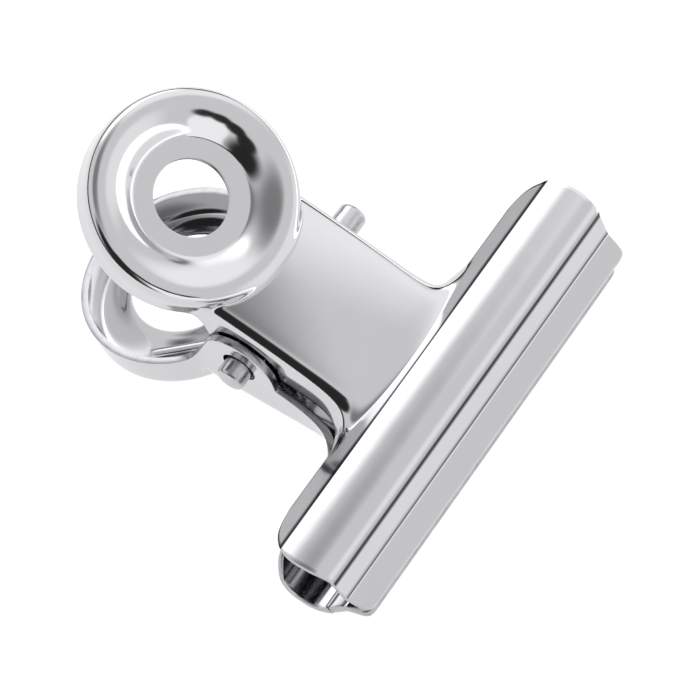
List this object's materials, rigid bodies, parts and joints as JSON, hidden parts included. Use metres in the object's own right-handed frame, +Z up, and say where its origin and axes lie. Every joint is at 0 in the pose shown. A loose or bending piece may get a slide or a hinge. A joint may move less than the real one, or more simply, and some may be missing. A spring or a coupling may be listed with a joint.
{
  "type": "paper clip",
  "caption": "Sprung letter clip for loose paper: a wide curled jaw opens when the round dished finger pads are squeezed together.",
  "frame": {"origin": "middle of the footprint, on the table that the closed clip lies on", "axes": "+X along the hinge pin and the jaw, +Y from the jaw to the finger pads, +Z up, from the lower leaf to the upper one"},
  "size_m": [0.0322, 0.0324, 0.0195],
  "materials": {
    "nickel_plated_steel": "bright nickel plate on pressed sheet steel",
    "plated_spring_wire": "drawn spring wire, plated",
    "pin_steel": "cropped and tumbled, plated"
  },
  "bodies": {
    "lower_half": {"back_leaf": "nickel_plated_steel", "hinge_pin": "pin_steel", "torsion_spring": "plated_spring_wire"},
    "upper_half": {"front_leaf": "nickel_plated_steel"}
  },
  "joints": [
    {"name": "jaw_hinge", "type": "hinge", "parent": "lower_half", "child": "upper_half", "pos_m": [0, -0.00011, 0.00657], "axis": [-1, 0, 0], "range_deg": [0, 36], "stiffness_Nm_per_rad": 0.05, "springref_deg": -68.75, "deforming": ["torsion_spring"]}
  ]
}
